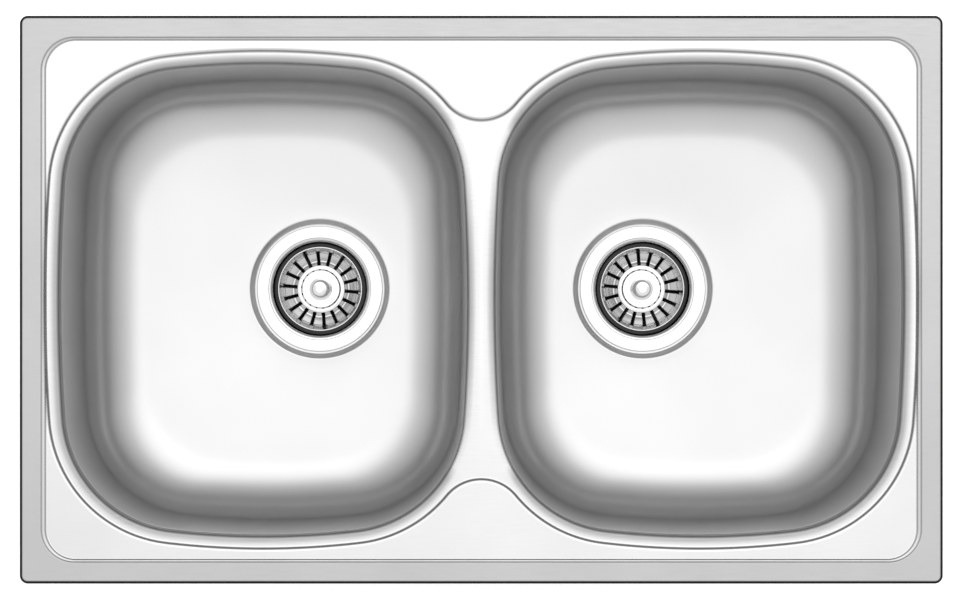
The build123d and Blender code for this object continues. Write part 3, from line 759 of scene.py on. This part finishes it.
def slotted(profile, centre, slots, first, width, inner, outer, per_pitch=18, across=4):
    """Turned surface with parallel sided slots cut through it between two radii.

    Between the radii the columns on each side of a slot keep half its width from the slot's middle
    line, whatever the radius, and the cells within the slot are left out.
    """
    lane = np.concatenate([
        np.linspace(-1, 1, across + 1),
        1 + np.linspace(0, 1, per_pitch - across + 1)[1:-1] * 2,
    ])
    pitch = 2 * math.pi / slots
    radius = profile[:, 0][:, None, None]
    half = np.arcsin(np.clip(width / 2 / np.maximum(radius, inner * 0.8), 0, 0.98))
    half = np.minimum(half, pitch * WIDEST_SLOT)
    inside = np.abs(lane) <= 1 + 1e-9
    offset = np.where(inside, lane * half, half + (lane - 1) / 2 * (pitch - 2 * half))
    middle = math.radians(first) + pitch * np.arange(slots)[None, :, None]
    angle = (middle + offset).reshape(len(profile), -1)
    spread = np.repeat(profile[:, :1], angle.shape[1], axis=1)
    points = np.stack(
        [centre[0] + spread * np.cos(angle), centre[1] + spread * np.sin(angle),
         np.repeat(profile[:, 1:], angle.shape[1], axis=1)], axis=-1,
    )
    vertices, quads = grid(points, wrap_cols=True)
    columns = angle.shape[1]
    middle_radius = (profile[:-1, 0] + profile[1:, 0]) / 2
    cut_rows = (middle_radius > inner) & (middle_radius < outer)
    cut_columns = (np.arange(columns) % len(lane)) < across
    keep = ~(cut_rows[:, None] & cut_columns[None, :]).reshape(-1)
    return vertices, quads[keep]


def finer(profile, step):
    """The profile with its long runs divided into steps of about that length."""
    out = [profile[0]]
    for a, b in zip(profile[:-1], profile[1:]):
        count = max(1, math.ceil(np.linalg.norm(b - a) / step))
        out += [a + (b - a) * k / count for k in range(1, count + 1)]
    return np.array(out)


DRAIN_OUTER = 31.5
DRAIN_INNER = 13.5
SPOKE_HALF = 2.0
SPOKE_REACH = 36.0
DRAIN_LIMIT = 35.7
HUB_R = 11.5
SCREW_HOLE_R = 3.1
# where the painted shade in the cup starts, and over how many millimetres down it becomes full
CUP_SHADE_TOP = -179.0
CUP_SHADE_RUN = 3.0


def waste_cup(centre):
    """Waste cup: its profile turned about the waste's axis, then a floor with six drains between an outer
    and an inner hexagon, parted by straight spokes to the hexagons' corners.

    Each row has a column along both sides of every spoke, at the angle where the row is half a spoke off
    its middle line. In the drains the cells between neighbouring spokes are left out.
    """
    sixth = math.pi / 3
    rows = []
    floor = [(DRAIN_OUTER, True), (DRAIN_INNER, True), (HUB_R, False), (SCREW_HOLE_R, False)]
    walls = [(reach, height, False) for reach, height in CUP_PROFILE]
    for reach, height, hexagon in walls + [(reach, CUP_FLOOR, hexagon) for reach, hexagon in floor]:
        at_spoke = reach / math.cos(sixth / 2) if hexagon else reach
        edge = math.asin(min(SPOKE_HALF / min(at_spoke, SPOKE_REACH), 0.5))
        local = np.concatenate([np.linspace(-edge, edge, 5), np.linspace(edge, sixth - edge, 15)[1:-1]])
        angle = (np.arange(6)[:, None] * sixth + local).ravel()
        off_corner = np.abs((angle + sixth / 2) % sixth - sixth / 2)
        radius = reach / np.cos(sixth / 2 - off_corner) if hexagon else np.full_like(angle, reach)
        radius = np.minimum(radius, DRAIN_LIMIT) if hexagon else radius
        x, y = centre[0] + radius * np.cos(angle), centre[1] + radius * np.sin(angle)
        rows.append(np.stack([x, y, np.full_like(angle, height)], axis=-1))
    vertices, quads = grid(np.array(rows), wrap_cols=True)
    columns = len(rows[0])
    row, column = np.divmod(np.arange(len(quads)), columns)
    drains = (row == len(CUP_PROFILE)) & (column % (columns // 6) >= 4)
    return vertices, quads[~drains]


cups = [waste_cup(centre) for centre in WASTES]
# the cup's deep mark places the painted shade below the plug's seat
piece(
    "waste_cup_shells", cups, cup_steel, "sink", ["waste_cups"], thickness=CUP_SHEET,
    marks={"painted_deep_shade": np.concatenate([np.clip((CUP_SHADE_TOP - cup[:, 2]) / CUP_SHADE_RUN, 0, 1) for cup, _ in cups])},
)

RIM_TOP = -168.0
KNOB_BASE = -183.1
BASKET_PROFILE = finer(rounded(
    [(38.35, RIM_TOP - 1.1), (38.35, RIM_TOP), (37.0, RIM_TOP), (33.6, -183.0), (25.0, -186.5),
     (21.3, KNOB_BASE), (3.1, KNOB_BASE)],
    (0.65, 0.6, 2.2, 1.4, 1.2),
), 0.75)
SEAL_PROFILE = rounded(
    [(37.3, -169.6), (41.6, -169.6), (41.6, -178.2), (40.2, -180.4), (36.4, -180.4), (36.9, -169.6)],
    (0.9, 0.6, 0.5, 0.0),
)
KNOB_PROFILE = held(rounded(
    [(3.05, KNOB_BASE), (20.2, KNOB_BASE), (20.2, KNOB_BASE + 1.0), (18.2, KNOB_BASE + 0.9), (16.8, -180.7),
     (10.5, -180.7), (7.4, -179.6), (4.6, -175.0), (4.6, -165.4), (6.7, -164.0), (6.7, -160.9), (3.4, -160.1),
     (0.01, -160.1)],
    (0.3, 0.4, 0.8, 0.7, 1.0, 3.0, 5.0, 1.2, 0.6, 0.7, 3.0),
), 0.25)
SLOTS = 18
FIRST_SLOT = 15.0
SLOT_WIDTH = 2.8
SLOT_INNER = 22.4
SLOT_OUTER = 34.3
BASKET_SHEET = 0.7

for side, centre in zip(("left", "right"), WASTES):
    body = f"{side}_plug"
    piece(
        f"{side}_basket_pressing",
        [slotted(BASKET_PROFILE, centre, SLOTS, FIRST_SLOT, SLOT_WIDTH, SLOT_INNER, SLOT_OUTER)],
        basket_steel, body, [f"{side}_strainer_basket"], thickness=BASKET_SHEET,
    )
    piece(
        f"{side}_seal_ring", [turned(SEAL_PROFILE, centre)], plug_rubber, body,
        [f"{side}_basket_seal"], flip=True,
    )
    piece(
        f"{side}_knob_turned", [turned(KNOB_PROFILE, centre, 128)], knob_chrome, body,
        [f"{side}_pull_knob"],
    )

# ---------------------------------------------------------------- lower bodies, studs and nuts

BODY_TOP = -167.8
FUNNEL_TOP = -202.8
FUNNEL_BOTTOM = -220.3
TAIL_END = -244.3
TAIL_R = 23.9
TAIL_BORE_R = 20.0
TAIL_ROWS = 104
TAIL_PITCH = 2.309
TAIL_THREAD_DEPTH = 1.3
STUD_PITCH = 0.8
STUD_THREAD_DEPTH = 0.42


def thread(height, angle, pitch, depth, bottom, top):
    """What a right hand thread takes off the radius: flat crests and roots, running out at both ends."""
    wave = np.clip(0.5 + 0.85 * np.cos(2 * math.pi * height / pitch - angle), 0, 1)
    run_out = np.clip(np.minimum(height - bottom, top - height) / pitch, 0, 1)
    return -depth * (1 - wave) * run_out


def upright_bar(outline, half, centre, turn):
    """Straight bar whose side view is the outline of (reach, height), turned about the waste's axis.

    Its rows are the middle of one side, the outline there, the outline on the other side and its middle.
    """
    outline = np.array(outline, float)
    middle = np.broadcast_to(outline.mean(axis=0), outline.shape)
    rows = ((-half, middle), (-half, outline), (half, outline), (half, middle))
    points = np.array([np.insert(face, 1, side, axis=1) for side, face in rows])
    cos, sin = math.cos(turn), math.sin(turn)
    x = points[..., 0] * cos - points[..., 1] * sin
    y = points[..., 0] * sin + points[..., 1] * cos
    return grid(np.stack([centre[0] + x, centre[1] + y, points[..., 2]], axis=-1), wrap_cols=True)


def tail_thread(height, angle):
    """The thread on the outlet of a lower body."""
    return thread(height, angle, TAIL_PITCH, TAIL_THREAD_DEPTH, TAIL_END + 1, FUNNEL_BOTTOM - 1.2)


BODY_BLANK = rounded(
    [(46.0, BODY_TOP), (58.0, BODY_TOP), (58.0, BODY_TOP - 4), (49.0, BODY_TOP - 4), (49.0, FUNNEL_TOP),
     (TAIL_R, FUNNEL_BOTTOM), (TAIL_R, TAIL_END), (TAIL_BORE_R, TAIL_END)],
    (0.8, 0.8, 1.5, 4.0, 2.0, 0.8),
)
# the tail gets close rows for its thread in place of the blank's one long run
tail_heights = np.linspace(FUNNEL_BOTTOM - 1.3, TAIL_END + 0.9, TAIL_ROWS)
BODY_OUTSIDE = np.concatenate([
    BODY_BLANK[BODY_BLANK[:, 1] > FUNNEL_BOTTOM - 1],
    np.stack([np.full(TAIL_ROWS, TAIL_R), tail_heights], axis=1),
    BODY_BLANK[BODY_BLANK[:, 1] < TAIL_END + 0.8],
])
BODY_INSIDE = rounded(
    [(TAIL_BORE_R, TAIL_END), (TAIL_BORE_R, FUNNEL_BOTTOM), (46.0, FUNNEL_TOP), (46.0, BODY_TOP)], (3.0, 3.0),
)
HUB_PROFILE = rounded(
    [(5.5, -201.0), (8.0, -201.0), (8.0, -218.0), (3.3, -218.0), (3.3, -212.0), (5.5, -212.0), (5.5, -201.0)],
    (0.3, 0.8, 0.4, 0, 0),
)
RIBS = 4
RIB_HALF = 1.25
RIB_OUTLINE = [(7.6, -201.0), (46.6, -201.0), (46.6, -203.2), (39.4, -208.0), (7.6, -208.0)]

for side, centre in zip(("left", "right"), WASTES):
    piece(
        f"{side}_body_moulding",
        [
            turned(BODY_OUTSIDE, centre, helix=tail_thread),
            turned(BODY_INSIDE, centre),
            turned(HUB_PROFILE, centre, 64),
            *[upright_bar(RIB_OUTLINE, RIB_HALF, centre, 2 * math.pi / RIBS * k) for k in range(RIBS)],
        ],
        body_plastic, "sink", [f"{side}_waste_body"], flip=True,
    )

CLAMPS = [(x, y) for y in (211.0, -211.0) for x in (-318.0, 0.0, 318.0)]
STUD_R = 2.5
STUD_TIP_R = 2.1
STUD_ROW = 0.16
HEAD_HALF = 4.0
HEAD_CORNER = 0.6
STUD_HEAD = -7.8
STUD_HEAD_TOP = STUD_HEAD + 2.5
STUD_END = STUD_HEAD - 56.0
NUT_TOP = -51.65
NUT_DEPTH = 4.0
NUT_HALF = 4.0
NUT_BORE_R = 2.56
NUT_MOUTH_R = 2.9
NUT_MOUTH_DEPTH = 0.35
NUT_CHAMFER_R = 3.85
NUT_CHAMFER_SLOPE = 1.75
NUT_BOTTOM = NUT_TOP - NUT_DEPTH
# rows of a square head as (inset, height), from the middle of its top to the middle of its underside
HEAD_ROWS = (
    (3.9, STUD_HEAD_TOP), (0.6, STUD_HEAD_TOP), (0.15, STUD_HEAD_TOP - 0.12), (0, STUD_HEAD_TOP - 0.5),
    (0, STUD_HEAD + 0.2), (0.2, STUD_HEAD), (3.9, STUD_HEAD),
)


def stud_thread(height, angle):
    """The thread on a stud's shank."""
    return thread(height, angle, STUD_PITCH, STUD_THREAD_DEPTH, STUD_END + 0.5, STUD_HEAD - 0.5)


def stud_surfaces(centre):
    """Threaded stud, turned, and the square head on it with its edges rounded."""
    rows = np.arange(STUD_HEAD, STUD_END + 0.6, -STUD_ROW)
    shank = np.stack([np.full_like(rows, STUD_R), rows], axis=1)
    shank = np.concatenate([shank, [(STUD_TIP_R, STUD_END), (0.01, STUD_END)]])
    turn = np.radians(np.concatenate([np.linspace(0, 38, 4), np.linspace(40, 50, 6), np.linspace(52, 90, 4)]))
    head = []
    for inset, height in HEAD_ROWS:
        half = HEAD_HALF - inset
        reach = box_reach(turn, (half, half), min(HEAD_CORNER, half * 0.5))
        x, y = reach * np.cos(turn), reach * np.sin(turn)
        head.append(np.stack([x, y, np.full_like(reach, height)], axis=-1))
    points = all_round(np.array(head)) + (centre[0], centre[1], 0)
    return [turned(shank, centre, 24, stud_thread), grid(points, wrap_cols=True)]


def nut_surface(centre):
    """Hexagon nut: each row is the hexagon cut back to a cone at both faces, closed through its bore."""
    angle = np.linspace(0, 2 * math.pi, 96, endpoint=False)
    hexagon = NUT_HALF / np.cos(angle % (math.pi / 3) - math.pi / 6)
    heights = np.array([0, 0.1, 0.22, 0.36, 0.6, 3.4, 3.64, 3.78, 3.9, NUT_DEPTH])
    from_face = np.minimum(heights, NUT_DEPTH - heights)
    mouth, bore = np.full_like(angle, NUT_MOUTH_R), np.full_like(angle, NUT_BORE_R)
    rows = [(bore, NUT_TOP - NUT_MOUTH_DEPTH), (mouth, NUT_TOP)]
    for height, depth in zip(heights, from_face):
        rows.append((np.minimum(hexagon, NUT_CHAMFER_R + NUT_CHAMFER_SLOPE * depth), NUT_TOP - height))
    rows += [(mouth, NUT_BOTTOM), (bore, NUT_BOTTOM + NUT_MOUTH_DEPTH)]
    x, y = np.cos(angle), np.sin(angle)
    points = np.array([
        np.stack([centre[0] + r * x, centre[1] + r * y, np.full_like(angle, z)], axis=-1) for r, z in rows
    ])
    return grid(points, wrap_rows=True, wrap_cols=True)


piece(
    "clamp_studs_threaded", [part for centre in CLAMPS for part in stud_surfaces(centre)], clamp_zinc,
    "sink", ["clamp_studs"], flip=True,
)
for number, centre in enumerate(CLAMPS, start=1):
    piece(
        f"clamp_nut_{number}_chamfered", [nut_surface(centre)], clamp_zinc, f"nut_{number}",
        [f"clamp_nut_{number}"], flip=True,
    )

# ---------------------------------------------------------------- carried over CAD nodes

FINISHES = {
    "deck_steel": deck_steel, "bowl_steel": bowl_steel, "cup_steel": cup_steel, "basket_steel": basket_steel,
    "knob_chrome": knob_chrome, "screw_steel": screw_steel, "plug_rubber": plug_rubber,
    "gasket_rubber": gasket_rubber, "seal_foam": seal_foam, "pad_rubber": pad_rubber,
    "body_plastic": body_plastic, "insert_brass": insert_brass, "clamp_steel": clamp_steel,
    "clamp_zinc": clamp_zinc,
}
# bevel, in millimetres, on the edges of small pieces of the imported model
SOFT_EDGES = {"clamp_brackets": 0.2, "waste_screws": 0.2, "left_plug_stem": 0.2, "right_plug_stem": 0.2}
SOFT_EDGES.update({f"claw_{place}": 0.25 for place in range(1, len(CLAMPS) + 1)})
for subpart in frame["record"]["subparts"]:
    thing = frame["nodes"][subpart["node"]]
    thing.data.materials.clear()
    thing.data.materials.append(FINISHES[subpart["material_slot"]])
    if subpart["node"] in SOFT_EDGES:
        weld = thing.modifiers.new("weld", "WELD")
        weld.merge_threshold = 0.00001
        soft = thing.modifiers.new("soft edges", "BEVEL")
        soft.width = SOFT_EDGES[subpart["node"]] * 0.001
        soft.segments = 2
        soft.limit_method = "ANGLE"
        soft.angle_limit = math.radians(40)

# ---------------------------------------------------------------- floor, light and camera

FLOOR_Z = cad_box[0][2] - 0.0005
FLOOR_REACH = 6.0


def floor_material():
    """White studio floor: white paint plus a little of its own white for the camera and for reflections,
    seen through from below so that the underside of the object can be looked at."""
    material, tree, shader = tree_of("studio floor white")
    shader.inputs["Base Color"].default_value = (0.8, 0.8, 0.8, 1)
    shader.inputs["Roughness"].default_value = 0.9
    path = tree.nodes.new("ShaderNodeLightPath")
    seen = tree.nodes.new("ShaderNodeMath")
    seen.operation = "MAXIMUM"
    also = tree.nodes.new("ShaderNodeMath")
    also.operation = "MAXIMUM"
    strength = tree.nodes.new("ShaderNodeMath")
    strength.operation = "MULTIPLY"
    strength.inputs[1].default_value = 0.5
    tree.links.new(path.outputs["Is Camera Ray"], seen.inputs[0])
    tree.links.new(path.outputs["Is Glossy Ray"], seen.inputs[1])
    tree.links.new(seen.outputs[0], also.inputs[0])
    tree.links.new(path.outputs["Is Transmission Ray"], also.inputs[1])
    tree.links.new(also.outputs[0], strength.inputs[0])
    shader.inputs["Emission Color"].default_value = (1, 1, 1, 1)
    tree.links.new(strength.outputs[0], shader.inputs["Emission Strength"])
    side = tree.nodes.new("ShaderNodeNewGeometry")
    through = tree.nodes.new("ShaderNodeMixShader")
    clear = tree.nodes.new("ShaderNodeBsdfTransparent")
    tree.links.new(side.outputs["Backfacing"], through.inputs["Fac"])
    tree.links.new(shader.outputs["BSDF"], through.inputs[1])
    tree.links.new(clear.outputs["BSDF"], through.inputs[2])
    tree.links.new(through.outputs["Shader"], tree.nodes["Material Output"].inputs["Surface"])
    return material


floor_mesh = bpy.data.meshes.new("studio_floor")
floor_mesh.from_pydata(
    [(x * FLOOR_REACH, y * FLOOR_REACH, FLOOR_Z) for x, y in ((-1, -1), (1, -1), (1, 1), (-1, 1))],
    [], [(0, 1, 2, 3)],
)
floor_mesh.materials.append(floor_material())
studio_floor = bpy.data.objects.new("studio_floor", floor_mesh)
bpy.context.scene.collection.objects.link(studio_floor)

DOME_TOP = 1.15
DOME_FOOT = 0.12
FRONT_GLOW = 0.22
PATCH_AXIS = Vector((0.05, 0.32, 0.95)).normalized()
PATCH_INNER = 6.0
PATCH_OUTER = 33.0
PATCH_LEVEL = 0.85


def studio_world():
    """Soft studio sky: a white dome that darkens evenly towards the horizon, a little lighter low down
    at the front, with a broad brighter patch a little to the back of straight up."""
    world = bpy.data.worlds.new("studio sky")
    world.use_nodes = True
    tree = world.node_tree
    coords = tree.nodes.new("ShaderNodeTexCoord")

    def along(axis, start, end, low, high, smooth=True):
        dot = tree.nodes.new("ShaderNodeVectorMath")
        dot.operation = "DOT_PRODUCT"
        dot.inputs[1].default_value = axis
        tree.links.new(coords.outputs["Generated"], dot.inputs[0])
        ramp = tree.nodes.new("ShaderNodeMapRange")
        ramp.interpolation_type = "SMOOTHSTEP" if smooth else "LINEAR"
        for key, value in (("From Min", start), ("From Max", end), ("To Min", low), ("To Max", high)):
            ramp.inputs[key].default_value = value
        tree.links.new(dot.outputs["Value"], ramp.inputs["Value"])
        return ramp.outputs["Result"]

    cosine = [math.cos(math.radians(angle)) for angle in (PATCH_OUTER, PATCH_INNER)]
    total = along((0, 0, 1), 0.05, 1.0, DOME_FOOT, DOME_TOP, smooth=False)
    patch = along(PATCH_AXIS, *cosine, 0, PATCH_LEVEL)
    front = along((0, -1, 0), 0.4, 1.0, 0, FRONT_GLOW)
    for part in (patch, front):
        add = tree.nodes.new("ShaderNodeMath")
        add.operation = "ADD"
        tree.links.new(total, add.inputs[0])
        tree.links.new(part, add.inputs[1])
        total = add.outputs[0]
    tree.links.new(total, tree.nodes["Background"].inputs["Strength"])
    tree.nodes["Background"].inputs["Color"].default_value = (1, 1, 1, 1)
    bpy.context.scene.world = world


studio_world()

LAMP_SIZE = 1.6
LAMP_POWER = 22.0
LAMP_PLACE = (0.35, 0.9, 2.2)
CAMERA_PLACE = (-0.0011, -0.0028, 2.3)
LENS = 102.0

lamp_data = bpy.data.lights.new("overhead softbox", "AREA")
lamp_data.shape = "SQUARE"
lamp_data.size = LAMP_SIZE
lamp_data.energy = LAMP_POWER
lamp = bpy.data.objects.new("overhead softbox", lamp_data)
lamp.location = LAMP_PLACE
lamp.rotation_euler = (-lamp.location).to_track_quat("-Z", "Y").to_euler()
lamp.visible_glossy = False
bpy.context.scene.collection.objects.link(lamp)

camera_data = bpy.data.cameras.new("camera")
camera_data.lens = LENS
camera_data.sensor_width = 36.0
camera_data.clip_end = 50.0
camera = bpy.data.objects.new("camera", camera_data)
camera.location = CAMERA_PLACE
bpy.context.scene.collection.objects.link(camera)
bpy.context.scene.camera = camera

bpy.context.scene.view_settings.view_transform = "Standard"
